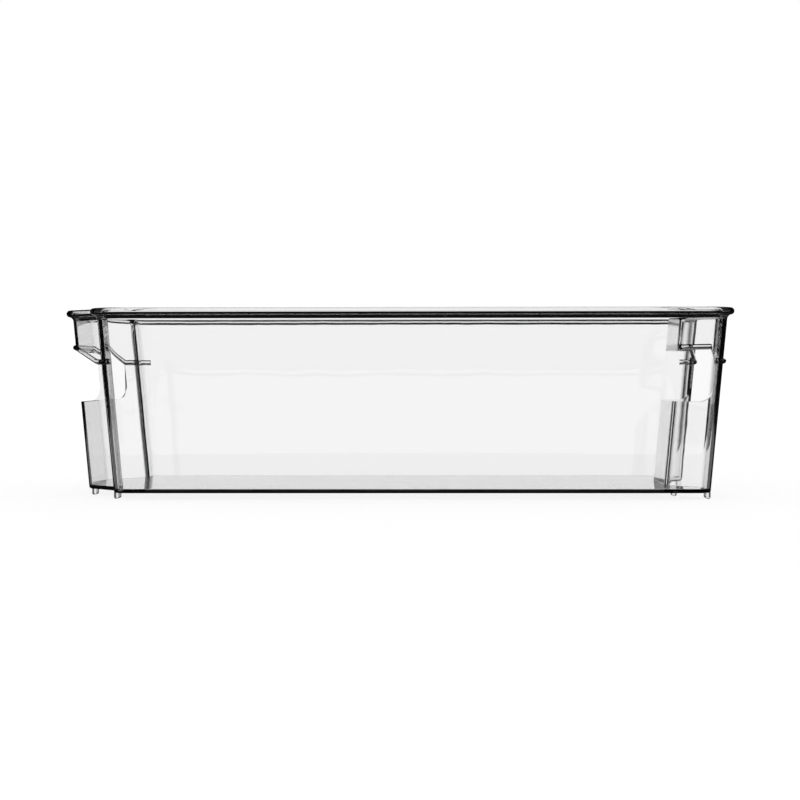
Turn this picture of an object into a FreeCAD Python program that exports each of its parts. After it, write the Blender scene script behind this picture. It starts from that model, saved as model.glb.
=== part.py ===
"""Clear fridge drawer organizer: one open-topped moulding, divided into its named regions.

Millimetres, +Z up. The origin is at the middle of the whole outline, on the surface that
the feet stand on. -X is the front, where the grip bay stands proud of the end wall, and
+X is the back, where an equal bay is set into the end wall, so that bins line up end to end.
"""

import FreeCAD, Part
import math
import os
import Sketcher

os.makedirs("parts", exist_ok=True)
doc = FreeCAD.newDocument("fridge_drawer_organizer")

# ---------------------------------------------------------------------------
# Driving dimensions
# ---------------------------------------------------------------------------

SIZES = [
    ("rim_length", 300.0),  # over the rim, front bay left out
    ("rim_width", 158.0),
    ("total_height", 89.0),
    ("wall", 2.0),
    ("floor_thickness", 2.2),
    ("draft_angle", 5.36),  # every wall leans out by this much
    ("corner_radius", 15.0),  # of the outer wall, at the level of the rim
    ("floor_edge_radius", 1.0),  # round the underside
    ("floor_fillet", 1.5),  # between the floor and the walls, inside
    ("rim_overhang", 2.8),  # the rim stands this far past the wall
    ("rim_bead_height", 3.3),
    ("rim_cove_height", 2.6),  # hollow sweep from the bead back to the wall
    ("front_bay_depth", 17.5),
    ("back_bay_depth", 16.0),
    ("bay_root_half", 48.8),  # half width of a bay where it leaves the end wall
    ("bay_panel_half", 27.0),  # half width of its flat panel
    ("bay_root_radius", 6.0),
    ("bay_panel_radius", 8.0),
    ("hole_below_top", 19.4),  # upper edge of both hand-holes, below the top of the rim
    ("hole_height", 24.6),
    ("hole_fall", 6.2),  # the upper edge is this much lower where it meets the end wall
    ("hole_slope", 12.5),  # length over which the front upper edge falls
    ("hole_drop", 3.0),  # the same at the back
    ("hole_corner_radius", 7.0),
    ("front_hole_margin", 4.9),  # wall left between the end wall and the front hole
    ("back_hole_margin", 2.6),
    ("lip_projection", 1.4),  # ridge along the upper edge of a hand-hole
    ("lip_height", 2.6),
    ("lip_wrap", 7.5),  # how far the ridge runs past the side tangent of each corner
    ("foot_height", 2.3),
    ("foot_width", 2.0),
    ("foot_run", 5.0),  # length of a bay foot along the panel
    ("front_foot_reach", 10.0),  # how far back along the cheek a front bay foot runs
    ("back_foot_reach", 5.0),  # and a back bay foot
]

sheet = doc.addObject("Spreadsheet::Sheet", "Sizes")
for row, (alias, value) in enumerate(SIZES, start=1):
    sheet.set(f"A{row}", alias)
    sheet.set(f"B{row}", str(value))
    sheet.setAlias(f"B{row}", alias)
doc.recompute()


def size(alias):
    """The value of one cell of the sheet."""
    return float(sheet.get(alias))


# ---------------------------------------------------------------------------
# Derived dimensions, as expressions on the sheet
# ---------------------------------------------------------------------------

LEAN = "tan(Sizes.draft_angle * 1 deg)"
TOP = "Sizes.total_height"
UNDERSIDE = "Sizes.foot_height"
FLOOR_TOP = "(Sizes.foot_height + Sizes.floor_thickness)"
RIM_BAND = "(Sizes.rim_bead_height + Sizes.rim_cove_height)"
BODY_X = "(Sizes.front_bay_depth / 2)"  # middle of the body, without the front bay
TANGENT_X = "(Sizes.rim_length / 2 - Sizes.rim_overhang - Sizes.corner_radius)"
TANGENT_Y = "(Sizes.rim_width / 2 - Sizes.rim_overhang - Sizes.corner_radius)"
HOLE_TOP = f"({TOP} - Sizes.hole_below_top)"
HOLE_SHOULDER = f"({HOLE_TOP} - Sizes.hole_fall)"
HOLE_BOTTOM = f"({HOLE_TOP} - Sizes.hole_height)"
HOLE_MIDDLE = f"(({HOLE_BOTTOM} + {HOLE_SHOULDER}) / 2)"
CLEAR = 40.0  # how far a cutting block reaches past what it cuts
SEARCH = 2.0  # how near to its nominal place an edge is looked for
BAY_SEAM = "(Sizes.bay_root_half + Sizes.bay_root_radius)"


def end_wall(level, offset="0"):
    """Half length of the body at a level, offset outwards."""
    return f"(Sizes.rim_length / 2 - Sizes.rim_overhang - ({TOP} - {level}) * {LEAN} + {offset})"


def side_wall(level, offset="0"):
    """Half width of the body at a level, offset outwards."""
    return f"(Sizes.rim_width / 2 - Sizes.rim_overhang - ({TOP} - {level}) * {LEAN} + {offset})"


def corner(level, offset="0"):
    """Corner radius at a level: the corners are cones about upright axes."""
    return f"(Sizes.corner_radius - ({TOP} - {level}) * {LEAN} + {offset})"


def cheek_shift(depth, offset):
    """How far an offset of the whole outline moves a bay's slanting cheek sideways."""
    splay = "(Sizes.bay_root_half - Sizes.bay_panel_half)"
    return f"(({offset}) * (sqrt({depth} ^ 2 + {splay} ^ 2) - {splay}) / {depth})"


# ---------------------------------------------------------------------------
# Sketches
# ---------------------------------------------------------------------------


def sketch_on(body, name, plane, along=None, turn=0.0):
    """A sketch on one of the body's origin planes.

    along maps a placement axis to the expression that moves the sketch along it.
    """
    sketch = body.newObject("Sketcher::SketchObject", name)
    support = next(f for f in body.Origin.OriginFeatures if f.Role == plane)
    sketch.AttachmentSupport = [(support, "")]
    sketch.MapMode = "FlatFace"
    sketch.AttachmentOffset = FreeCAD.Placement(
        FreeCAD.Vector(), FreeCAD.Rotation(FreeCAD.Vector(0, 0, 1), turn)
    )
    for axis, expression in (along or {}).items():
        sketch.setExpression(f"AttachmentOffset.Base.{axis}", expression)
    return sketch


def bind(sketch, constraint, expression):
    """Adds a constraint whose value follows the sheet."""
    index = sketch.addConstraint(constraint)
    sketch.setExpression(f"Constraints[{index}]", expression)


def rounded_rectangle(sketch, half_x, half_y, radius):
    """A rectangle about the sketch's origin with round corners."""
    reach, corner_size = 50.0, 10.0
    arcs = []
    for quadrant in range(4):
        angle = quadrant * math.pi / 2
        side_x = math.copysign(reach, math.cos(angle + math.pi / 4))
        side_y = math.copysign(reach, math.sin(angle + math.pi / 4))
        circle = Part.Circle(FreeCAD.Vector(side_x, side_y, 0), FreeCAD.Vector(0, 0, 1), corner_size)
        arcs.append(sketch.addGeometry(Part.ArcOfCircle(circle, angle, angle + math.pi / 2), False))
    for quadrant in range(4):
        here, after = arcs[quadrant], arcs[(quadrant + 1) % 4]
        start = sketch.getPoint(here, 2)
        end = sketch.getPoint(after, 1)
        line = sketch.addGeometry(Part.LineSegment(start, end), False)
        sketch.addConstraint(Sketcher.Constraint("Tangent", here, 2, line, 1))
        sketch.addConstraint(Sketcher.Constraint("Tangent", line, 2, after, 1))
    sketch.addConstraint(Sketcher.Constraint("Symmetric", arcs[0], 3, arcs[1], 3, -2))
    sketch.addConstraint(Sketcher.Constraint("Symmetric", arcs[0], 3, arcs[2], 3, -1, 1))
    sketch.addConstraint(Sketcher.Constraint("Symmetric", arcs[0], 3, arcs[3], 3, -1))
    for other in arcs[1:]:
        sketch.addConstraint(Sketcher.Constraint("Equal", arcs[0], other))
    bind(sketch, Sketcher.Constraint("DistanceX", arcs[0], 3, reach), f"{half_x} - {radius}")
    bind(sketch, Sketcher.Constraint("DistanceY", arcs[0], 3, reach), f"{half_y} - {radius}")
    bind(sketch, Sketcher.Constraint("Radius", arcs[0], corner_size), radius)


def polygon(sketch, corners):
    """A closed outline of straight lines, each corner held at a pair of expressions.

    The expressions are distances from the sketch's axes, and are never negative.
    """
    rough = [
        FreeCAD.Vector(10 * math.cos(2 * math.pi * i / len(corners)) + 20,
                       10 * math.sin(2 * math.pi * i / len(corners)) + 20, 0)
        for i in range(len(corners))
    ]
    lines = [
        sketch.addGeometry(Part.LineSegment(rough[i], rough[(i + 1) % len(rough)]), False)
        for i in range(len(rough))
    ]
    for i, line in enumerate(lines):
        sketch.addConstraint(Sketcher.Constraint("Coincident", line, 2, lines[(i + 1) % len(lines)], 1))
    for line, start, (x, y) in zip(lines, rough, corners):
        bind(sketch, Sketcher.Constraint("DistanceX", line, 1, start.x), x)
        bind(sketch, Sketcher.Constraint("DistanceY", line, 1, start.y), y)


def trapezoid(sketch, inner_x, inner_half, outer_x, outer_half):
    """A trapezoid that is even about the sketch's X axis."""
    starts = [(20, 10), (40, 8), (40, -8), (20, -10)]
    points = [FreeCAD.Vector(x, y, 0) for x, y in starts]
    lines = [
        sketch.addGeometry(Part.LineSegment(points[i], points[(i + 1) % 4]), False) for i in range(4)
    ]
    for i in range(4):
        sketch.addConstraint(Sketcher.Constraint("Coincident", lines[i], 2, lines[(i + 1) % 4], 1))
    sketch.addConstraint(Sketcher.Constraint("Symmetric", lines[0], 1, lines[2], 2, -1))
    sketch.addConstraint(Sketcher.Constraint("Symmetric", lines[0], 2, lines[1], 2, -1))
    bind(sketch, Sketcher.Constraint("DistanceX", lines[0], 1, 20), inner_x)
    bind(sketch, Sketcher.Constraint("DistanceY", lines[0], 1, 10), inner_half)
    bind(sketch, Sketcher.Constraint("DistanceX", lines[0], 2, 40), outer_x)
    bind(sketch, Sketcher.Constraint("DistanceY", lines[0], 2, 8), outer_half)


# ---------------------------------------------------------------------------
# The drafted forms: the outside, the inside, and the face of the hand-hole lips
# ---------------------------------------------------------------------------


def edges_where(feature, test):
    """Names of a feature's edges whose midpoint and direction pass the test."""
    names = []
    for index, edge in enumerate(feature.Shape.Edges, start=1):
        middle = edge.valueAt((edge.FirstParameter + edge.LastParameter) / 2)
        ends = edge.Vertexes[-1].Point - edge.Vertexes[0].Point
        if test(middle, ends):
            names.append(f"Edge{index}")
    return names


def fillet(body, name, test, radius):
    """Rounds the edges of the body that pass the test."""
    base = body.Tip
    rounded = body.newObject("PartDesign::Fillet", name)
    rounded.Base = (base, edges_where(base, test))
    rounded.setExpression("Radius", radius)
    doc.recompute()
    return rounded


def bay(body, kind, name, bottom, top, outline, turn):
    """One end bay, added to or cut from the body: its outline, carried up and outwards."""
    sketch = sketch_on(body, f"{name}_outline", "XY_Plane", {"x": BODY_X, "z": bottom}, turn)
    trapezoid(sketch, *outline)
    prism = body.newObject(kind, name)
    prism.Profile = sketch
    prism.UseCustomVector = True
    prism.AlongSketchNormal = True
    prism.Direction = FreeCAD.Vector(-0.1 if turn else 0.1, 0, 1)
    prism.setExpression("Direction.x", f"{-1 if turn else 1} * {LEAN}")
    prism.setExpression("Length", f"{top} - {bottom}")
    doc.recompute()
    return prism


def form(name, bottom, top, offset, floor_radius):
    """The body's outline with both bays, drafted, and offset outwards from the outer wall.

    Args:
        bottom: the level that the form starts from, as an expression.
        top: the level that it ends at.
        offset: how far its walls stand outside the outer wall, as an expression.
        floor_radius: the radius round its underside, as an expression.
    """
    body = doc.addObject("PartDesign::Body", name)
    levels = [("bottom", bottom), ("top", top)]
    sketches = []
    for level_name, level in levels:
        sketch = sketch_on(body, f"{name}_{level_name}", "XY_Plane", {"x": BODY_X, "z": level})
        rounded_rectangle(sketch, end_wall(level, offset), side_wall(level, offset), corner(level, offset))
        sketches.append(sketch)
    loft = body.newObject("PartDesign::AdditiveLoft", f"{name}_block")
    loft.Profile = sketches[0]
    loft.Sections = [sketches[1]]
    loft.Ruled = True
    doc.recompute()

    front, back = "Sizes.front_bay_depth", "Sizes.back_bay_depth"
    root, panel = "Sizes.bay_root_half", "Sizes.bay_panel_half"
    slope_front = f"(({root} - {panel}) / {front})"
    slope_back = f"(({root} - {panel}) / {back})"
    shift_front, shift_back = cheek_shift(front, offset), cheek_shift(back, offset)
    end_face = end_wall(bottom, offset)
    front_outline = (
        f"{end_face} - Sizes.wall",
        f"{root} + {shift_front} + Sizes.wall * {slope_front}",
        f"{end_face} + {front}",
        f"{panel} + {shift_front}",
    )
    back_outline = (
        f"{end_face} + Sizes.wall",
        f"{root} - {shift_back} + Sizes.wall * {slope_back}",
        f"{end_face} - {back}",
        f"{panel} - {shift_back}",
    )
    bay(body, "PartDesign::Pad", f"{name}_front_bay", bottom, top, front_outline, 180.0)
    bay(body, "PartDesign::Pocket", f"{name}_back_bay", bottom, top, back_outline, 0.0)

    def upright(sign, half):
        """Tests for the steep edges of one end that lie near the given half width."""

        def test(middle, ends):
            steep = abs(ends.z) > max(abs(ends.x), abs(ends.y))
            return steep and middle.x * sign > 0 and abs(abs(middle.y) - half) < SEARCH

        return test

    root_half, panel_half = size("bay_root_half"), size("bay_panel_half")
    radius_root, radius_panel = "Sizes.bay_root_radius", "Sizes.bay_panel_radius"
    fillet(body, f"{name}_front_roots", upright(-1, root_half), f"{radius_root} - ({offset})")
    fillet(body, f"{name}_front_corners", upright(-1, panel_half), f"{radius_panel} + ({offset})")
    fillet(body, f"{name}_back_roots", upright(1, root_half), f"{radius_root} + ({offset})")
    fillet(body, f"{name}_back_corners", upright(1, panel_half), f"{radius_panel} - ({offset})")

    if floor_radius:
        lowest = min(vertex.Z for vertex in body.Shape.Vertexes)

        def round_the_floor(middle, ends):
            return abs(middle.z - lowest) < 0.01

        fillet(body, f"{name}_floor_edge", round_the_floor, floor_radius)
    return body


outer_form = form("outer_form", UNDERSIDE, TOP, "0", "Sizes.floor_edge_radius")
inner_form = form("inner_form", FLOOR_TOP, TOP, "(0 - Sizes.wall)", "Sizes.floor_fillet")
lip_form = form("lip_form", UNDERSIDE, TOP, "Sizes.lip_projection", "Sizes.floor_edge_radius")


# ---------------------------------------------------------------------------
# Rim: a bead with a hollow sweep under it, swept along the top of the outer wall
# ---------------------------------------------------------------------------


def rim_section():
    """The rim's section, across the middle of the left side wall.

    Each corner has its bound place, and a rough one for the solver to start from.
    """
    body = doc.addObject("PartDesign::Body", "rim_profile")
    sketch = sketch_on(body, "rim_section", "YZ_Plane", {"z": BODY_X})
    nose = "(Sizes.rim_bead_height / 2)"
    under = f"({TOP} - Sizes.rim_bead_height)"
    foot = f"({TOP} - {RIM_BAND})"
    root = f"{side_wall(TOP)} - Sizes.wall / 2"
    nose_x = f"{side_wall(TOP)} + Sizes.rim_overhang - {nose}"
    corners = {
        "root_top": (root, TOP),
        "nose_top": (nose_x, TOP),
        "nose_under": (nose_x, under),
        "cove_foot": (side_wall(foot), foot),
        "root_foot": (root, foot),
    }
    edge, top = size("rim_width") / 2, size("total_height")
    face = edge - size("rim_overhang")
    bead, cove_drop = size("rim_bead_height"), size("rim_cove_height")
    low = top - bead - cove_drop
    rough = {
        "root_top": (face - size("wall") / 2, top),
        "nose_top": (edge - bead / 2, top),
        "nose_under": (edge - bead / 2, top - bead),
        "cove_foot": (face - cove_drop * math.tan(math.radians(size("draft_angle"))), low),
        "root_foot": (face - size("wall") / 2, low),
    }
    at = {name: FreeCAD.Vector(x, y, 0) for name, (x, y) in rough.items()}
    nose_tip = FreeCAD.Vector(edge, top - bead / 2, 0)
    chord = at["nose_under"] - at["cove_foot"]
    hollow = (at["nose_under"] + at["cove_foot"]) / 2 + FreeCAD.Vector(-chord.y, chord.x, 0) / 8
    upper = sketch.addGeometry(Part.LineSegment(at["root_top"], at["nose_top"]), False)
    roll = sketch.addGeometry(Part.Arc(at["nose_top"], nose_tip, at["nose_under"]), False)
    cove = sketch.addGeometry(Part.Arc(at["nose_under"], hollow, at["cove_foot"]), False)
    lower = sketch.addGeometry(Part.LineSegment(at["cove_foot"], at["root_foot"]), False)
    inner = sketch.addGeometry(Part.LineSegment(at["root_foot"], at["root_top"]), False)

    def end_at(geometry, name):
        """Which end of a curve lies at a named corner."""
        return min((1, 2), key=lambda end: sketch.getPoint(geometry, end).distanceToPoint(at[name]))

    joins = [
        (upper, roll, "nose_top"),
        (roll, cove, "nose_under"),
        (cove, lower, "cove_foot"),
        (lower, inner, "root_foot"),
        (inner, upper, "root_top"),
    ]
    for first, second, name in joins:
        ends = (first, end_at(first, name), second, end_at(second, name))
        sketch.addConstraint(Sketcher.Constraint("Coincident", *ends))
    for first, second, name in joins:
        spot = (first, end_at(first, name))
        bind(sketch, Sketcher.Constraint("DistanceX", *spot, at[name].x), corners[name][0])
        bind(sketch, Sketcher.Constraint("DistanceY", *spot, at[name].y), corners[name][1])
    bind(sketch, Sketcher.Constraint("DistanceX", roll, 3, at["nose_top"].x), nose_x)
    bind(sketch, Sketcher.Constraint("Radius", cove, cove_drop), "Sizes.rim_cove_height")
    doc.recompute()
    return sketch


def on_top(middle, ends):
    """Tests for the edges of the top face."""
    return abs(middle.z - size("total_height")) < 0.01


rim_roll = doc.addObject("Part::Sweep", "rim_roll")
rim_roll.Sections = [rim_section()]
rim_roll.Spine = (outer_form, edges_where(outer_form, on_top))
rim_roll.Solid = True
rim_roll.Frenet = False
doc.recompute()


# ---------------------------------------------------------------------------
# Booleans and blocks
# ---------------------------------------------------------------------------


def block(name, x_range, y_range, z_range):
    """A box between pairs of expressions, which bounds a region of the moulding."""
    box = doc.addObject("Part::Box", name)
    sides = (("Length", "x", x_range), ("Width", "y", y_range), ("Height", "z", z_range))
    for side, axis, (low, high) in sides:
        box.setExpression(side, f"({high}) - ({low})")
        box.setExpression(f"Placement.Base.{axis}", low)
    return box


def combine(kind, name, first, second):
    """A Part boolean of two objects."""
    made = doc.addObject(kind, name)
    made.Base = first
    made.Tool = second
    return made


def cut(name, first, second):
    """first without second."""
    return combine("Part::Cut", name, first, second)


def common(name, first, second):
    """What first and second share."""
    return combine("Part::Common", name, first, second)


def fuse(name, first, second):
    """first and second in one."""
    return combine("Part::Fuse", name, first, second)


# ---------------------------------------------------------------------------
# Hand-holes
# ---------------------------------------------------------------------------

FAR_X = f"({end_wall(TOP)} + Sizes.front_bay_depth + {CLEAR})"
NEAR_X = f"({end_wall(UNDERSIDE)} - Sizes.back_bay_depth - {CLEAR})"
LIP_TOP = f"({HOLE_TOP} + Sizes.lip_height)"
LIP_SHOULDER = f"({HOLE_SHOULDER} + Sizes.lip_height)"
FRONT_ROOT = f"({end_wall(HOLE_SHOULDER)} + Sizes.front_hole_margin)"
BACK_ROOT = f"({end_wall(HOLE_SHOULDER)} - Sizes.back_hole_margin)"
WRAP_X = f"({TANGENT_X} + Sizes.lip_wrap)"


def side_profile(name, corners, half_width, turn):
    """A prism across the bin, from its outline seen from the side.

    The outline is measured from the middle of the body towards one end, and turn is 180
    for the front end.
    """
    body = doc.addObject("PartDesign::Body", name)
    sketch = sketch_on(body, f"{name}_outline", "XZ_Plane")
    polygon(sketch, corners)
    pad = body.newObject("PartDesign::Pad", f"{name}_pad")
    pad.Profile = sketch
    pad.Midplane = True
    pad.setExpression("Length", f"2 * ({half_width})")
    body.Placement = FreeCAD.Placement(
        FreeCAD.Vector(), FreeCAD.Rotation(FreeCAD.Vector(0, 0, 1), turn)
    )
    body.setExpression("Placement.Base.x", BODY_X)
    doc.recompute()
    return body


def hand_hole(name, root_x, foot_x, slope_x, far_x, turn):
    """The space of a hand-hole, with its lower inner corner rounded."""
    corners = [
        (foot_x, HOLE_BOTTOM),
        (far_x, HOLE_BOTTOM),
        (far_x, HOLE_TOP),
        (slope_x, HOLE_TOP),
        (root_x, HOLE_SHOULDER),
    ]
    body = side_profile(name, corners, BAY_SEAM, turn)
    level = min(vertex.Z for vertex in body.Tip.Shape.Vertexes)
    low = [vertex.X for vertex in body.Tip.Shape.Vertexes if abs(vertex.Z - level) < 0.01]
    foot = min(low) if turn else max(low)

    def lower_corner(middle, ends):
        return abs(middle.x - foot) < 0.01 and abs(middle.z - level) < 0.01

    fillet(body, f"{name}_corner", lower_corner, "Sizes.hole_corner_radius")
    return body


def lip_band(name, root_x, slope_x, far_x, turn):
    """The band along the upper edge of a hand-hole, run on past the body's corners."""
    corners = [
        (WRAP_X, HOLE_SHOULDER),
        (root_x, HOLE_SHOULDER),
        (slope_x, HOLE_TOP),
        (far_x, HOLE_TOP),
        (far_x, LIP_TOP),
        (slope_x, LIP_TOP),
        (root_x, LIP_SHOULDER),
        (WRAP_X, LIP_SHOULDER),
    ]
    return side_profile(name, corners, "Sizes.rim_width / 2", turn)


def back_lip_band(name):
    """The band at the back: the bay lies inside the end wall, so the band folds back."""
    end_x = f"({end_wall(HOLE_SHOULDER)} + Sizes.lip_projection + 1)"
    drop = f"({BACK_ROOT} - Sizes.hole_drop)"
    corners = [
        (BACK_ROOT, HOLE_SHOULDER),
        (end_x, HOLE_SHOULDER),
        (end_x, LIP_SHOULDER),
        (BACK_ROOT, LIP_SHOULDER),
        (drop, LIP_TOP),
        (NEAR_X, LIP_TOP),
        (NEAR_X, HOLE_TOP),
        (drop, HOLE_TOP),
    ]
    return side_profile(name, corners, BAY_SEAM, 0.0)


front_hole = hand_hole(
    "front_hole",
    FRONT_ROOT,
    f"({end_wall(HOLE_BOTTOM)} + Sizes.front_hole_margin)",
    f"({FRONT_ROOT} + Sizes.hole_slope)",
    FAR_X,
    180.0,
)
back_hole = hand_hole(
    "back_hole",
    BACK_ROOT,
    f"({end_wall(HOLE_BOTTOM)} - Sizes.back_hole_margin)",
    f"({BACK_ROOT} - Sizes.hole_drop)",
    NEAR_X,
    0.0,
)

shell = cut("shell", outer_form, inner_form)
rimmed = fuse("rimmed", shell, rim_roll)
front_open = cut("front_open", rimmed, front_hole)
moulding = cut("moulding", front_open, back_hole)

# ---------------------------------------------------------------------------
# Hand-hole lips: a ridge on the outside of the wall
# ---------------------------------------------------------------------------

lip_skin = cut("lip_skin", lip_form, outer_form)
front_lip = common(
    "front_handhole_lip",
    lip_skin,
    lip_band("front_lip_band", FRONT_ROOT, f"({FRONT_ROOT} + Sizes.hole_slope)", FAR_X, 180.0),
)
back_bay_lip = common("back_bay_lip", lip_skin, back_lip_band("back_lip_band"))


# ---------------------------------------------------------------------------
# Feet: short ridges that carry the line of the wall on below the floor
# ---------------------------------------------------------------------------

FOOT_FACE = "(0 - Sizes.floor_edge_radius)"
FOOT_BACK = "(0 - Sizes.floor_edge_radius - Sizes.foot_width)"
foot_outside = form("foot_outside", "0", UNDERSIDE, FOOT_FACE, None)
foot_inside = form("foot_inside", "0", UNDERSIDE, FOOT_BACK, None)
foot_skin = cut("foot_skin", foot_outside, foot_inside)


# ---------------------------------------------------------------------------
# Regions
# ---------------------------------------------------------------------------

LOW, HIGH = f"(0 - {CLEAR})", f"({TOP} + {CLEAR})"
WIDE = f"(Sizes.rim_width / 2 + {CLEAR})"
LONG = f"(Sizes.rim_length / 2 + Sizes.front_bay_depth + {CLEAR})"
PAN_LEVEL = f"({FLOOR_TOP} + Sizes.floor_fillet)"
RIM_LEVEL = f"({TOP} - {RIM_BAND})"
FRONT_SEAM = f"({BODY_X} - {TANGENT_X})"
BACK_SEAM = f"({BODY_X} + {TANGENT_X})"
SIDES = {"left": (TANGENT_Y, WIDE), "right": (f"(0 - {WIDE})", f"(0 - {TANGENT_Y})")}
CORNERS = {"left": (BAY_SEAM, WIDE), "right": (f"(0 - {WIDE})", f"(0 - {BAY_SEAM})")}
ENDS = {"front": (f"(0 - {LONG})", FRONT_SEAM), "back": (BACK_SEAM, LONG)}
BAYS = {"front": ENDS["front"], "back": (BODY_X, LONG)}
BAY_WIDTH = (f"(0 - {BAY_SEAM})", BAY_SEAM)
WALL_LEVELS = (PAN_LEVEL, RIM_LEVEL)

nodes = {}


def region(name, x_range, y_range, z_range):
    """The part of the moulding inside one block, as a node of its own."""
    nodes[name] = common(name, moulding, block(f"{name}_block", x_range, y_range, z_range))


region("floor_pan", (f"(0 - {LONG})", LONG), (f"(0 - {WIDE})", WIDE), (LOW, PAN_LEVEL))
for side, y_range in SIDES.items():
    region(f"{side}_side_wall", (FRONT_SEAM, BACK_SEAM), y_range, WALL_LEVELS)
    region(f"{side}_rim", (FRONT_SEAM, BACK_SEAM), y_range, (RIM_LEVEL, HIGH))
for end, x_range in ENDS.items():
    for side, y_range in CORNERS.items():
        region(f"{end}_{side}_corner", x_range, y_range, WALL_LEVELS)
for end, x_range in BAYS.items():
    region(f"{end}_panel", x_range, BAY_WIDTH, (PAN_LEVEL, HOLE_MIDDLE))
    region(f"{end}_grip", x_range, BAY_WIDTH, (HOLE_MIDDLE, RIM_LEVEL))
region("front_rim", ENDS["front"], (f"(0 - {WIDE})", WIDE), (RIM_LEVEL, HIGH))
back_rim_block = fuse(
    "back_rim_block",
    block("back_rim_end", ENDS["back"], (f"(0 - {WIDE})", WIDE), (RIM_LEVEL, HIGH)),
    block("back_rim_bay", BAYS["back"], (f"(0 - {TANGENT_Y})", TANGENT_Y), (RIM_LEVEL, HIGH)),
)
nodes["back_rim"] = common("back_rim", moulding, back_rim_block)
nodes["front_handhole_lip"] = front_lip

back_end_block = block(
    "back_end_lips_block", (f"({BODY_X} + {WRAP_X})", LONG), (f"(0 - {WIDE})", WIDE),
    (HOLE_SHOULDER, LIP_SHOULDER),
)
back_end_lips = common("back_end_lips", lip_skin, back_end_block)
nodes["back_handhole_lip"] = fuse("back_handhole_lip", back_end_lips, back_bay_lip)


def feet(name, blocks):
    """The parts of the foot ridge inside several blocks, as one node."""
    group = doc.addObject("Part::MultiFuse", f"{name}_blocks")
    group.Shapes = blocks
    nodes[name] = common(name, foot_skin, group)


BELOW = (LOW, UNDERSIDE)
FOOT_SIDES = {
    "left": ("(Sizes.bay_panel_half - Sizes.foot_run)", BAY_SEAM),
    "right": (f"(0 - {BAY_SEAM})", "(Sizes.foot_run - Sizes.bay_panel_half)"),
}
FRONT_FOOT_END = f"({BODY_X} - {end_wall('0')} - Sizes.front_bay_depth + Sizes.front_foot_reach)"
BACK_FOOT_END = f"({BODY_X} + {end_wall('0')} - Sizes.back_bay_depth + Sizes.back_foot_reach)"
feet("corner_feet", [
    block(f"{end}_{side}_foot_block", ENDS[end], SIDES[side], BELOW) for end in ENDS for side in SIDES
])
feet("front_bay_feet", [
    block(f"front_{side}_bay_foot_block", (f"(0 - {LONG})", FRONT_FOOT_END), y_range, BELOW)
    for side, y_range in FOOT_SIDES.items()
])
feet("back_bay_feet", [
    block(f"back_{side}_bay_foot_block", (BODY_X, BACK_FOOT_END), y_range, BELOW)
    for side, y_range in FOOT_SIDES.items()
])

# ---------------------------------------------------------------------------
# Checks and export
# ---------------------------------------------------------------------------

doc.recompute()
failed = [item.Label for item in doc.Objects if {"Invalid", "Error"} & set(item.State)]
if failed:
    raise RuntimeError(f"these did not rebuild: {', '.join(failed)}")
for name, node in nodes.items():
    if node.Shape.isNull() or not node.Shape.Solids or not node.Shape.isValid():
        raise RuntimeError(f"{name} has no valid solid")
for name, node in nodes.items():
    node.Label = name
    node.Shape.exportStep(f"parts/{name}.step")
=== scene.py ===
"""Clear fridge bin: one moulded shell of see-through plastic, on a plain pale floor.

Metres, in the part's own frame: +Z up, the grip bay in front at -X, the inset bay behind at +X.
"""

import logging
import math
from collections.abc import Callable, Sequence
from dataclasses import dataclass, field, replace
from enum import Enum

import bmesh
import bpy
from mathutils import Matrix, Vector

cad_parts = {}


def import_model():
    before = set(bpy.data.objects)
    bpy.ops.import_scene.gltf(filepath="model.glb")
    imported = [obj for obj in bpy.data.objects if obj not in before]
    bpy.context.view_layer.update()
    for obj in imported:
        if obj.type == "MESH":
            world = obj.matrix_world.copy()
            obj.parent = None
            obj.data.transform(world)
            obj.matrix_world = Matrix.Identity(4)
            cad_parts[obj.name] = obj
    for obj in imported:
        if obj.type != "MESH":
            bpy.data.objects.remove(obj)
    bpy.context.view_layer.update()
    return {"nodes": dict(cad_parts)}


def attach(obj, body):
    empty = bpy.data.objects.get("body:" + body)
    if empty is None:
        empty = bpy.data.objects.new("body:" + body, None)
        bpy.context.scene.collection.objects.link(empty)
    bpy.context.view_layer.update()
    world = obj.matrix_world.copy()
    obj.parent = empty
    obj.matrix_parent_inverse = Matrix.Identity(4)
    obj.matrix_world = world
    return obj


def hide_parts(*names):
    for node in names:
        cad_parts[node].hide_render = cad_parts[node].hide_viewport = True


log = logging.getLogger("fridge_bin")

MM = 0.001
# A circle starts at this radius, before its vertices are moved to a ring's points.
START_RADIUS = 0.1
# Ray counts are whole numbers, so a half tells none from one.
HALF_COUNT = 0.5
OPAQUE_BLACK = (0.0, 0.0, 0.0, 1.0)
WHITE = (1.0, 1.0, 1.0, 1.0)

Point = tuple[float, float]
Ring = list[Vector]
Colour = tuple[float, float, float, float]
Socket = bpy.types.NodeSocket
Tree = bpy.types.NodeTree


class End(Enum):
    """The two ends of the bin. The value is the way that the end faces along X."""

    FRONT = -1
    BACK = 1


# ---------------------------------------------------------------------------
# Modelling steps shared by the pieces
# ---------------------------------------------------------------------------


def deselect_all() -> None:
    """Leaves nothing selected, in object mode."""
    if bpy.context.object and bpy.context.object.mode != "OBJECT":
        bpy.ops.object.mode_set(mode="OBJECT")
    bpy.ops.object.select_all(action="DESELECT")


def select_only(piece: bpy.types.Object) -> None:
    """Selects one object and makes it the active one.

    Args:
        piece: the object.
    """
    deselect_all()
    piece.select_set(True)
    bpy.context.view_layer.objects.active = piece


def place_selected(mesh: bmesh.types.BMesh, ring: Ring) -> None:
    """Moves the selected vertices to a ring's points, each by the number of its spoke.

    Args:
        mesh: the mesh in edit mode, whose vertices carry their spoke's number.
        ring: one point for each spoke.
    """
    spoke = mesh.verts.layers.int["spoke"]
    for vertex in mesh.verts:
        if vertex.select:
            vertex.co = ring[vertex[spoke]]


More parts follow.
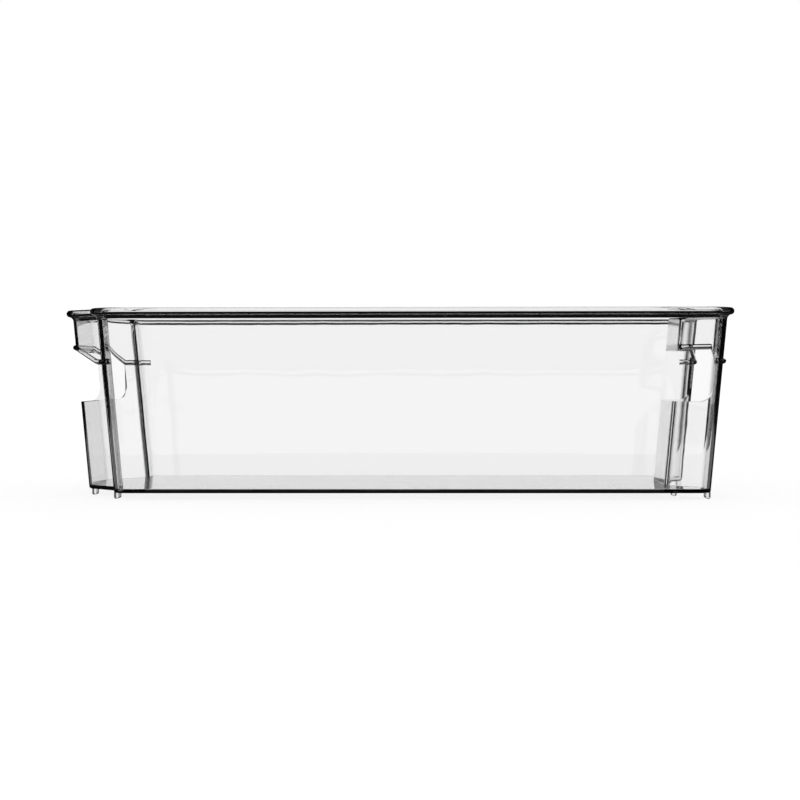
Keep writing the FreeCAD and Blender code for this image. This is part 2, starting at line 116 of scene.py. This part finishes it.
def sweep(name: str, rings: Sequence[Ring]) -> bpy.types.Object:
    """A closed skin through a row of rings, capped at both ends.

    Args:
        name: the new object's name.
        rings: rings of equally many points, each extruded from the last.

    Returns:
        The new object, at the origin.
    """
    deselect_all()
    bpy.ops.mesh.primitive_circle_add(
        vertices=len(rings[0]), radius=START_RADIUS, fill_type="NGON"
    )
    piece = bpy.context.object
    piece.name = piece.data.name = name
    bpy.ops.object.mode_set(mode="EDIT")
    mesh = bmesh.from_edit_mesh(piece.data)
    spoke = mesh.verts.layers.int.new("spoke")
    for number, vertex in enumerate(mesh.verts):
        vertex[spoke] = number
    place_selected(mesh, rings[0])
    for ring in rings[1:]:
        bpy.ops.mesh.extrude_region_move()
        place_selected(bmesh.from_edit_mesh(piece.data), ring)
    bpy.ops.mesh.select_all(action="SELECT")
    bpy.ops.mesh.normals_make_consistent(inside=False)
    bpy.ops.object.mode_set(mode="OBJECT")
    return piece


def combine(piece: bpy.types.Object, tool: bpy.types.Object, operation: str) -> None:
    """Joins a tool to a piece, or cuts it away, and deletes the tool.

    Args:
        piece: the object that is changed.
        tool: the object that changes it.
        operation: UNION or DIFFERENCE.
    """
    select_only(piece)
    boolean = piece.modifiers.new("boolean", "BOOLEAN")
    boolean.operation = operation
    boolean.solver = "EXACT"
    boolean.object = tool
    bpy.ops.object.modifier_apply(modifier=boolean.name)
    select_only(tool)
    bpy.ops.object.delete()
    log.info("%s %s: %d faces", piece.name, operation.lower(), len(piece.data.polygons))


@dataclass(frozen=True)
class Corner:
    """One corner of a path: its place, its arc, and how the straight run after it is divided."""

    place: Point
    radius: float = 0.0
    steps: int = 1
    run_steps: int = 1


def rounded_path(corners: Sequence[Corner]) -> list[Point]:
    """A closed path through corners, each turned into an arc.

    Args:
        corners: the corners, in order round the path.

    Returns:
        The points of all arcs and runs in order.
    """
    arcs: list[list[Vector]] = []
    for index, corner in enumerate(corners):
        here = Vector(corner.place)
        if corner.radius == 0:
            arcs.append([here])
            continue
        before = (Vector(corners[index - 1].place) - here).normalized()
        after = (Vector(corners[(index + 1) % len(corners)].place) - here).normalized()
        half = before.angle(after) / 2
        centre = here + (before + after).normalized() * corner.radius / math.sin(half)
        start = here + before * corner.radius / math.tan(half) - centre
        sense = math.copysign(math.pi - 2 * half, after.x * before.y - after.y * before.x)
        turns = [sense * step / corner.steps for step in range(corner.steps + 1)]
        arcs.append([centre + Matrix.Rotation(turn, 2) @ start for turn in turns])
    points: list[Point] = []
    for index, (corner, arc) in enumerate(zip(corners, arcs)):
        following = arcs[(index + 1) % len(arcs)][0]
        points += [(point.x, point.y) for point in arc]
        for step in range(1, corner.run_steps):
            between = arc[-1].lerp(following, step / corner.run_steps)
            points.append((between.x, between.y))
    return points


# ---------------------------------------------------------------------------
# Sizes
# ---------------------------------------------------------------------------


@dataclass(frozen=True)
class BinSizes:
    """The moulding's sizes, and its outline at any level."""

    rim_length: float = 300 * MM
    rim_width: float = 158 * MM
    height: float = 89 * MM
    wall: float = 2.0 * MM
    floor_thickness: float = 1.9 * MM
    draft: float = math.radians(5.36)
    corner_radius: float = 15 * MM
    floor_edge_radius: float = 1.0 * MM
    floor_fillet: float = 0.2 * MM
    rim_overhang: float = 2.8 * MM
    bead_height: float = 3.3 * MM
    cove_height: float = 2.6 * MM
    front_bay: float = 17.5 * MM
    back_bay: float = 16.0 * MM
    bay_root_half: float = 48.8 * MM
    bay_panel_half: float = 27.0 * MM
    bay_root_radius: float = 6.0 * MM
    bay_panel_radius: float = 8.0 * MM
    foot_height: float = 2.9 * MM
    corner_steps: int = 24
    bay_steps: int = 12
    cheek_steps: int = 14

    @property
    def middle_x(self) -> float:
        """The middle of the body, without the front bay."""
        return self.front_bay / 2

    @property
    def floor_top(self) -> float:
        """The level of the floor's upper face."""
        return self.foot_height + self.floor_thickness

    @property
    def rim_foot(self) -> float:
        """The level at which the rim's cove meets the wall."""
        return self.height - self.bead_height - self.cove_height

    def lean(self, level: float) -> float:
        """How far a wall has drawn in at a level."""
        return (self.height - level) * math.tan(self.draft)

    def end_wall(self, level: float) -> float:
        """Half length of the body at a level."""
        return self.rim_length / 2 - self.rim_overhang - self.lean(level)

    def outline(self, level: float, offset: float = 0.0) -> list[Point]:
        """The outline at a level, offset outwards from the outer wall.

        Args:
            level: height above the surface that the bin stands on.
            offset: distance outwards, or inwards where negative.

        Returns:
            The outline's points, anticlockwise from above, even about the X axis.
        """
        length = self.end_wall(level) + offset
        width = self.rim_width / 2 - self.rim_overhang - self.lean(level) + offset
        radius = self.corner_radius - self.lean(level) + offset
        splay = self.bay_root_half - self.bay_panel_half
        half: list[Corner] = []
        for end, depth, sign in ((End.BACK, self.back_bay, -1), (End.FRONT, self.front_bay, 1)):
            shift = sign * offset * (math.hypot(depth, splay) - splay) / depth
            x = self.middle_x + end.value * length
            panel = Corner(
                (x + sign * end.value * depth, self.bay_panel_half + shift),
                self.bay_panel_radius + sign * offset,
                self.bay_steps,
            )
            root = Corner(
                (x, self.bay_root_half + shift),
                self.bay_root_radius - sign * offset,
                self.bay_steps,
            )
            corner = Corner((x, width), radius, self.corner_steps)
            if end is End.BACK:
                half += [replace(panel, run_steps=self.cheek_steps), root, corner]
            else:
                half += [corner, replace(root, run_steps=self.cheek_steps), panel]
        other = []
        for index in range(len(half) - 1, -1, -1):
            x, y = half[index].place
            run_steps = half[index - 1].run_steps
            other.append(replace(half[index], place=(x, -y), run_steps=run_steps))
        return rounded_path(half + other)

    def ring(self, level: float, offset: float, height: float | None = None) -> Ring:
        """The outline of a level as a ring of points, at that level or at another height."""
        z = level if height is None else height
        return [Vector((x, y, z)) for x, y in self.outline(level, offset)]


@dataclass(frozen=True)
class HoleSizes:
    """One hand-hole, seen from the side. Its margin is how far past the end wall it starts."""

    end: End
    below_top: float = 19.4 * MM
    height: float = 24.6 * MM
    fall: float = 6.9 * MM
    slope: float = 12.5 * MM
    margin: float = 4.9 * MM
    corner_radius: float = 7.0 * MM
    block_depth: float = 60 * MM

    @property
    def way(self) -> int:
        """Which way the bay lies from the end wall: 1 outwards at the front, -1 inwards."""
        return 1 if self.end is End.FRONT else -1


@dataclass(frozen=True)
class LipSizes:
    """The ridge along a hand-hole's upper edge, set clear of the edge by a hair."""

    projection: float = 1.4 * MM
    height: float = 2.6 * MM
    sink: float = 0.8 * MM
    clear: float = 0.08 * MM
    wrap: float = 7.5 * MM
    steps: int = 6


@dataclass(frozen=True)
class FootRun:
    """Where a straight foot runs, from start to stop off the middle line, on both sides of it."""

    end: End
    place: float
    start: float
    stop: float


@dataclass(frozen=True)
class FootSizes:
    """The straight ridges that the bin stands on. A run's place is measured from the end wall."""

    runs: tuple[FootRun, ...] = (
        FootRun(End.FRONT, -0.05 * MM, 52 * MM, 62 * MM),
        FootRun(End.BACK, -0.05 * MM, 52 * MM, 62 * MM),
        FootRun(End.FRONT, 15.6 * MM, 20 * MM, 28.3 * MM),
        FootRun(End.BACK, -13.4 * MM, 32 * MM, 40 * MM),
    )
    width: float = 2.0 * MM
    sink: float = 0.8 * MM
    rounding: float = 0.8 * MM
    steps: int = 4


# ---------------------------------------------------------------------------
# Finishes
# ---------------------------------------------------------------------------


@dataclass(frozen=True)
class ClearPlastic:
    """Polished colourless plastic, with the faint waves that moulding leaves in it."""

    colour: Colour = WHITE
    roughness: float = 0.02
    ior: float = 1.49
    depth_colour: Colour = OPAQUE_BLACK
    depth_tint: float = 17.0
    wave_scale: float = 45.0
    wave_detail: float = 2.0
    wave_depth: float = 0.06 * MM

    def material(self) -> bpy.types.Material:
        """Makes the material.

        Returns:
            The new material.
        """
        made = bpy.data.materials.new("clear_plastic")
        made.use_nodes = True
        nodes, links = made.node_tree.nodes, made.node_tree.links
        shader = nodes["Principled BSDF"]
        shader.inputs["Base Color"].default_value = self.colour
        shader.inputs["Roughness"].default_value = self.roughness
        shader.inputs["IOR"].default_value = self.ior
        shader.inputs["Transmission Weight"].default_value = 1.0
        place = nodes.new("ShaderNodeTexCoord")
        waves = nodes.new("ShaderNodeTexNoise")
        waves.inputs["Scale"].default_value = self.wave_scale
        waves.inputs["Detail"].default_value = self.wave_detail
        bump = nodes.new("ShaderNodeBump")
        bump.inputs["Strength"].default_value = 1.0
        bump.inputs["Distance"].default_value = self.wave_depth
        links.new(place.outputs["Object"], waves.inputs["Vector"])
        links.new(waves.outputs["Fac"], bump.inputs["Height"])
        links.new(bump.outputs["Normal"], shader.inputs["Normal"])
        depth = nodes.new("ShaderNodeVolumeAbsorption")
        depth.inputs["Color"].default_value = self.depth_colour
        depth.inputs["Density"].default_value = self.depth_tint
        links.new(depth.outputs["Volume"], nodes["Material Output"].inputs["Volume"])
        return made


def maths(tree: Tree, operation: str, *values: Socket | float) -> Socket:
    """A maths node on sockets or plain numbers.

    Args:
        tree: the node tree that it is for.
        operation: what the node does.
        values: its inputs in order.

    Returns:
        The node's result.
    """
    node = tree.nodes.new("ShaderNodeMath")
    node.operation = operation
    for socket, value in zip(node.inputs, values):
        if isinstance(value, Socket):
            tree.links.new(value, socket)
        else:
            socket.default_value = value
    return node.outputs["Value"]


def product(tree: Tree, *values: Socket | float) -> Socket:
    """Multiplies two or more sockets or plain numbers.

    Args:
        tree: the node tree that it is for.
        values: the factors.

    Returns:
        A socket with their product.
    """
    result, *others = values
    for value in others:
        result = maths(tree, "MULTIPLY", result, value)
    return result


def seen_ray(tree: Tree) -> Socket:
    """Tells the rays that make the picture from those that only carry light.

    Args:
        tree: the node tree that it is for.

    Returns:
        A socket that is 1 for the camera's rays, also where they pass through glass or off gloss.
    """
    path = tree.nodes.new("ShaderNodeLightPath").outputs
    bent = maths(tree, "MAXIMUM", path["Is Glossy Ray"], path["Is Transmission Ray"])
    direct = maths(tree, "LESS_THAN", path["Diffuse Depth"], HALF_COUNT)
    return product(tree, maths(tree, "MAXIMUM", bent, path["Is Camera Ray"]), direct)


def turned_ray(tree: Tree) -> Socket:
    """A socket that is 1 for a ray that was turned back by gloss at least once."""
    path = tree.nodes.new("ShaderNodeLightPath").outputs
    return maths(tree, "GREATER_THAN", path["Glossy Depth"], HALF_COUNT)


def mirrored(tree: Tree, share: float) -> Socket:
    """How much of the white surroundings a ray shows: all of it, less for each turn in plastic.

    Args:
        tree: the node tree that it is for.
        share: what is left after a reflection.

    Returns:
        A socket that is 1 for rays that pass straight through.
    """
    path = tree.nodes.new("ShaderNodeLightPath").outputs
    turns = maths(tree, "SUBTRACT", path["Glossy Depth"], path["Is Transmission Ray"])
    return maths(tree, "POWER", share, maths(tree, "MAXIMUM", turns, 0.0))


def dimmed(tree: Tree, light: float, whole_walls: float = 3.5) -> Socket:
    """Dims rays that were turned inside an edge, and so crossed few surfaces.

    Args:
        tree: the node tree that it is for.
        light: what is left of such a ray.
        whole_walls: a ray that crosses more surfaces than this passes through whole walls.

    Returns:
        A socket that is the light for rays turned inside an edge, and 1 for all others.
    """
    path = tree.nodes.new("ShaderNodeLightPath").outputs
    few = maths(tree, "LESS_THAN", path["Transmission Depth"], whole_walls)
    return maths(tree, "MULTIPLY_ADD", product(tree, turned_ray(tree), few), light - 1.0, 1.0)


@dataclass(frozen=True)
class PaleFloor:
    """A pale matte floor that is raised to white where it is seen, and keeps its shadows."""

    colour: Colour = (0.8, 0.8, 0.8, 1.0)
    raised: float = 0.7
    glow: float = 1.154
    gloss: float = 0.2
    edge_light: float = 0.1

    def material(self) -> bpy.types.Material:
        """Makes the material.

        Returns:
            The new material.
        """
        made = bpy.data.materials.new("pale_floor")
        made.use_nodes = True
        tree = made.node_tree
        nodes, links = tree.nodes, tree.links
        matte = nodes["Principled BSDF"]
        matte.inputs["Base Color"].default_value = self.colour
        matte.inputs["Roughness"].default_value = 1.0
        matte.inputs["Specular IOR Level"].default_value = 0.0
        glow = nodes.new("ShaderNodeEmission")
        kept = product(tree, mirrored(tree, self.gloss), dimmed(tree, self.edge_light))
        links.new(product(tree, kept, self.glow), glow.inputs["Strength"])
        share = maths(tree, "MULTIPLY_ADD", kept, self.raised - 1.0, 1.0)
        mix = nodes.new("ShaderNodeMixShader")
        links.new(product(tree, seen_ray(tree), share), mix.inputs["Fac"])
        links.new(matte.outputs["BSDF"], mix.inputs[1])
        links.new(glow.outputs["Emission"], mix.inputs[2])
        links.new(mix.outputs["Shader"], nodes["Material Output"].inputs["Surface"])
        return made


# ---------------------------------------------------------------------------
# The moulding
# ---------------------------------------------------------------------------


@dataclass
class Moulding:
    """The whole bin, as the one clear shell that it is."""

    sizes: BinSizes = field(default_factory=BinSizes)
    holes: tuple[HoleSizes, ...] = (
        HoleSizes(End.FRONT),
        HoleSizes(End.BACK, slope=2.0 * MM, margin=-0.4 * MM),
    )
    lip: LipSizes = field(default_factory=LipSizes)
    feet: FootSizes = field(default_factory=FootSizes)
    finish: ClearPlastic = field(default_factory=ClearPlastic)
    shade_angle: float = math.radians(32)
    wall_levels: int = 7
    round_steps: int = 6

    def wall_rings(self, low: float, high: float, offset: float) -> list[Ring]:
        """Evenly spaced rings up a wall.

        Args:
            low: the first level.
            high: the last level.
            offset: distance outwards from the outer wall.

        Returns:
            The rings in order from the first level to the last.
        """
        steps = range(self.wall_levels + 1)
        levels = [low + (high - low) * step / self.wall_levels for step in steps]
        return [self.sizes.ring(level, offset) for level in levels]

    def rim_rings(self) -> list[Ring]:
        """The rim's hollow sweep and round bead, outside, from the wall up to the flat top.

        Returns:
            The rings in order from the wall to the top.
        """
        sizes = self.sizes
        nose = sizes.bead_height / 2
        nose_offset = sizes.rim_overhang - nose
        foot = Vector((-sizes.lean(sizes.rim_foot), sizes.rim_foot))
        under = Vector((nose_offset, sizes.height - sizes.bead_height))
        chord = under - foot
        bulge = math.sqrt(sizes.cove_height**2 - chord.length_squared / 4)
        across = Vector((chord.y, -chord.x)).normalized()
        centre = (foot + under) / 2 + across * bulge
        turn = (foot - centre).angle_signed(under - centre)
        section = []
        for step in range(1, self.round_steps + 1):
            swing = Matrix.Rotation(-turn * step / self.round_steps, 2)
            section.append(centre + swing @ (foot - centre))
        for step in range(1, 2 * self.round_steps + 1):
            angle = -math.pi / 2 + math.pi * step / (2 * self.round_steps)
            rise = sizes.height - nose + nose * math.sin(angle)
            section.append(Vector((nose_offset + nose * math.cos(angle), rise)))
        return [sizes.ring(sizes.height, spot.x, spot.y) for spot in section]

    def shell(self) -> bpy.types.Object:
        """Sweeps the wall's section round the outline: underside, outer wall, rim, inner wall.

        Returns:
            The shell without its hand-holes, lips and feet.
        """
        sizes = self.sizes
        radius, fillet = sizes.floor_edge_radius, sizes.floor_fillet
        rings = []
        for step in range(self.round_steps):
            angle = math.pi / 2 * step / self.round_steps
            level = sizes.foot_height + radius * (1 - math.cos(angle))
            rings.append(sizes.ring(level, -radius * (1 - math.sin(angle))))
        rings += self.wall_rings(sizes.foot_height + radius, sizes.rim_foot, 0.0)
        rings += self.rim_rings()
        rings += self.wall_rings(sizes.height, sizes.floor_top + fillet, -sizes.wall)
        for step in range(1, self.round_steps + 1):
            angle = math.pi / 2 * step / self.round_steps
            level = sizes.floor_top + fillet * (1 - math.sin(angle))
            rings.append(sizes.ring(level, -sizes.wall - fillet * (1 - math.cos(angle))))
        return sweep("moulding", rings)

    def hole_edge(self, hole: HoleSizes) -> Callable[[float], float]:
        """The level of a hand-hole's upper edge.

        Args:
            hole: the hand-hole's sizes.

        Returns:
            A function from the distance off the middle of the body to the level.
        """
        shoulder = self.sizes.height - hole.below_top - hole.fall
        root = self.sizes.end_wall(shoulder) + hole.margin

        def level(distance: float) -> float:
            """The edge's level at a distance along the bin."""
            past = (distance - root) * hole.way
            return shoulder + hole.fall * min(max(past / hole.slope, 0.0), 1.0)

        return level

    def hole_block(self, hole: HoleSizes) -> bpy.types.Object:
        """The space that a hand-hole takes out of its bay.

        Args:
            hole: the hand-hole's sizes.

        Returns:
            A block right across the bay.
        """
        sizes = self.sizes
        top = sizes.height - hole.below_top
        shoulder, bottom = top - hole.fall, top - hole.height
        root = sizes.end_wall(shoulder) + hole.margin
        foot = sizes.end_wall(bottom) + hole.margin
        far = root + hole.way * hole.block_depth
        side = rounded_path(
            [
                Corner((foot, bottom), hole.corner_radius, 2 * self.round_steps),
                Corner((far, bottom)),
                Corner((far, top)),
                Corner((root + hole.way * hole.slope, top)),
                Corner((root, shoulder)),
            ]
        )
        reach = sizes.bay_root_half + sizes.bay_root_radius
        places = [(sizes.middle_x + hole.end.value * x, z) for x, z in side]
        return sweep("hand_hole", [[Vector((x, y, z)) for x, z in places] for y in (-reach, reach)])

    def lip_piece(self, hole: HoleSizes) -> bpy.types.Object:
        """The ridge along one hand-hole's upper edge, run on past the corners of the body.

        Args:
            hole: the hand-hole's sizes.

        Returns:
            The ridge, closed at both ends.
        """
        sizes, lip = self.sizes, self.lip
        edge_at = self.hole_edge(hole)
        shoulder = sizes.height - hole.below_top - hole.fall
        guide = sizes.outline(sizes.height - hole.below_top)
        wrap_x = sizes.rim_length / 2 - sizes.rim_overhang - sizes.corner_radius + lip.wrap
        distances = [(x - sizes.middle_x) * hole.end.value for x, _ in guide]
        seam = sizes.bay_root_half + sizes.bay_root_radius
        run = [
            spoke
            for spoke, (distance, (_, y)) in enumerate(zip(distances, guide))
            if distance > 0 and (distance >= wrap_x or abs(y) < seam)
        ]
        run.sort(key=lambda spoke: math.atan2(guide[spoke][1], distances[spoke]))

        def level_at(spoke: int, distance: float) -> float:
            """The ridge's level: the hand-hole's edge in the bay, and even round the corner."""
            return edge_at(distance) if abs(guide[spoke][1]) < seam else shoulder

        def section(spoke: int) -> Ring:
            """A rounded section on the wall.

            Args:
                spoke: the point of the outline that it is at.

            Returns:
                The section's points.
            """
            x, _ = sizes.outline(level_at(spoke, distances[spoke]))[spoke]
            base = level_at(spoke, (x - sizes.middle_x) * hole.end.value) + lip.clear
            shape = [(-lip.sink, lip.sink / 2)]
            for step in range(lip.steps + 1):
                angle = -math.pi / 2 + math.pi * step / lip.steps
                rise = lip.height / 2 * (1 + math.sin(angle))
                shape.append((lip.projection * math.cos(angle), rise))
            shape.append((-lip.sink, lip.height - lip.sink / 2))
            ring = []
            for offset, rise in shape:
                x, y = sizes.outline(base + rise, offset)[spoke]
                ring.append(Vector((x, y, base + rise)))
            return ring

        return sweep(f"{hole.end.name.lower()}_lip", [section(spoke) for spoke in run])

    def foot_pieces(self) -> list[bpy.types.Object]:
        """The ridges under the floor, across the bin: at each corner and each side of a bay.

        Returns:
            Eight ridges.
        """
        sizes, feet = self.sizes, self.feet
        face = sizes.end_wall(sizes.foot_height)
        high = sizes.foot_height + feet.sink
        shape = [(-feet.width, high), (0.0, high)]
        for side, turn in ((-feet.rounding, 0.0), (feet.rounding - feet.width, math.pi / 2)):
            for step in range(feet.steps + 1):
                angle = turn + math.pi / 2 * step / feet.steps
                rise = feet.rounding * (1 - math.sin(angle))
                shape.append((side + feet.rounding * math.cos(angle), rise))
        pieces = []
        for run in feet.runs:
            from_middle = face + run.place
            places = [(sizes.middle_x + run.end.value * (from_middle + x), z) for x, z in shape]
            for side in (-1, 1):
                ends = (side * run.start, side * run.stop)
                rings = [[Vector((x, y, z)) for x, z in places] for y in ends]
                pieces.append(sweep("foot", rings))
        return pieces

    def build(self) -> bpy.types.Object:
        """Makes the moulding and gives it its finish.

        Returns:
            The finished moulding.
        """
        piece = self.shell()
        for hole in self.holes:
            combine(piece, self.hole_block(hole), "DIFFERENCE")
        for added in [self.lip_piece(hole) for hole in self.holes] + self.foot_pieces():
            combine(piece, added, "UNION")
        select_only(piece)
        bpy.ops.object.shade_smooth_by_angle(angle=self.shade_angle)
        normals = piece.modifiers.new("normals", "WEIGHTED_NORMAL")
        normals.keep_sharp = True
        bpy.ops.object.modifier_apply(modifier=normals.name)
        piece.data.materials.clear()
        piece.data.materials.append(self.finish.material())
        return piece


# ---------------------------------------------------------------------------
# Stage, light and camera
# ---------------------------------------------------------------------------


@dataclass
class Studio:
    """A round pale floor, and surroundings that clear plastic shows up against.

    Round the horizon stand white screens with dark gaps between them. What is seen straight
    through the plastic is a screen or the pale ground, and what its curves bend aside is a gap
    or the dark above the screens. That dark is a light ceiling where gloss mirrors it. Light
    that was turned inside an edge shows no screen, and little of the rest.
    """

    floor_radius: float = 0.5
    floor_sides: int = 96
    screens: int = 4
    screen_turn: float = math.radians(10)
    screen_limit: float = 0.0
    screen_edge: float = 0.15
    screen_top: float = 0.085
    below_screens: float = -0.12
    blur: float = 0.04
    white: float = 1.06
    dark: float = 0.003
    ceiling: float = 0.9
    edge_light: float = 0.1
    gloss: float = 0.2
    fill: float = 0.8
    floor_finish: PaleFloor = field(default_factory=PaleFloor)

    def floor(self) -> bpy.types.Object:
        """Lays the floor.

        Returns:
            The floor.
        """
        deselect_all()
        bpy.ops.mesh.primitive_circle_add(
            vertices=self.floor_sides, radius=self.floor_radius, fill_type="NGON"
        )
        floor = bpy.context.object
        floor.name = floor.data.name = "floor"
        floor.data.materials.append(self.floor_finish.material())
        return floor

    def surroundings(self) -> None:
        """Makes the world: screens, gaps and ceiling for clear plastic, and even fill light."""
        world = bpy.data.worlds.new("surroundings")
        bpy.context.scene.world = world
        world.use_nodes = True
        tree = world.node_tree
        nodes, links = tree.nodes, tree.links

        def ramp(value: Socket, start: float, stop: float) -> Socket:
            """An even rise or fall.

            Args:
                value: what it goes by.
                start: the value where it is 0.
                stop: the value where it is 1.

            Returns:
                A socket from 0 to 1.
            """
            node = nodes.new("ShaderNodeMapRange")
            node.inputs["From Min"].default_value = start
            node.inputs["From Max"].default_value = stop
            links.new(value, node.inputs["Value"])
            return node.outputs["Result"]

        direction = nodes.new("ShaderNodeTexCoord")
        split = nodes.new("ShaderNodeSeparateXYZ")
        links.new(direction.outputs["Generated"], split.inputs["Vector"])
        x, y, height = split.outputs
        bearing = maths(tree, "SUBTRACT", maths(tree, "ARCTAN2", y, x), self.screen_turn)
        wave = maths(tree, "COSINE", product(tree, bearing, self.screens))
        limits = (self.screen_limit - self.screen_edge, self.screen_limit + self.screen_edge)
        screens = product(tree, ramp(wave, *limits), dimmed(tree, 0.0))
        ground = ramp(height, self.below_screens + self.blur, self.below_screens)
        low = ramp(height, self.screen_top + self.blur, self.screen_top)
        around = product(tree, maths(tree, "MAXIMUM", screens, ground), low)
        above = product(tree, turned_ray(tree), maths(tree, "SUBTRACT", 1.0, low), self.ceiling)
        light = product(tree, maths(tree, "ADD", around, above), self.white)
        light = product(tree, light, dimmed(tree, self.edge_light))
        light = maths(tree, "MAXIMUM", light, self.dark)
        light = product(tree, light, mirrored(tree, self.gloss))
        seen = nodes.new("ShaderNodeBackground")
        seen.inputs["Color"].default_value = WHITE
        path = nodes.new("ShaderNodeLightPath")
        at_least_white = maths(tree, "MAXIMUM", light, path.outputs["Is Camera Ray"])
        links.new(at_least_white, seen.inputs["Strength"])
        even = nodes["Background"]
        even.inputs["Color"].default_value = WHITE
        even.inputs["Strength"].default_value = self.fill
        mix = nodes.new("ShaderNodeMixShader")
        links.new(seen_ray(tree), mix.inputs["Fac"])
        links.new(even.outputs["Background"], mix.inputs[1])
        links.new(seen.outputs["Background"], mix.inputs[2])
        links.new(mix.outputs["Shader"], nodes["World Output"].inputs["Surface"])


@dataclass(frozen=True)
class Viewpoint:
    """The camera's place, lens and aim. The pan and the tilt are in pixels of the frame."""

    focal_pixels: float = 2140.0
    frame_pixels: float = 800.0
    sensor: float = 36.0
    reach: float = 980 * MM
    height: float = 59.7 * MM
    turn: float = math.radians(0.65)
    pan: float = 13.0
    tilt: float = 29.2
    roll: float = 0.001
    clip_start: float = 0.05
    clip_end: float = 50.0

    def camera(self, sizes: BinSizes) -> bpy.types.Object:
        """Sets up the scene's camera.

        Args:
            sizes: the bin's sizes, from whose near rim the reach is measured.

        Returns:
            The camera.
        """
        deselect_all()
        away = sizes.rim_width / 2 + self.reach
        place = (
            sizes.middle_x + away * math.sin(self.turn),
            -away * math.cos(self.turn),
            self.height,
        )
        heading = self.turn + math.atan(self.pan / self.focal_pixels)
        dip = math.atan(self.tilt / self.focal_pixels)
        bpy.ops.object.camera_add(location=place, rotation=(math.pi / 2 - dip, self.roll, heading))
        camera = bpy.context.object
        camera.data.sensor_width = self.sensor
        camera.data.lens = self.focal_pixels / self.frame_pixels * self.sensor
        camera.data.clip_start = self.clip_start
        camera.data.clip_end = self.clip_end
        bpy.context.scene.camera = camera
        return camera


def main() -> None:
    """Builds the bin, its stage and its light."""
    logging.basicConfig(level=logging.INFO)
    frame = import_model()
    moulding = Moulding()
    piece = moulding.build()
    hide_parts(*frame["nodes"])
    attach(piece, "root")
    log.info("moulding: %d faces", len(piece.data.polygons))
    studio = Studio()
    studio.floor()
    studio.surroundings()
    Viewpoint().camera(moulding.sizes)
    bpy.context.scene.view_settings.view_transform = "Standard"


if __name__ == "__main__":
    main()
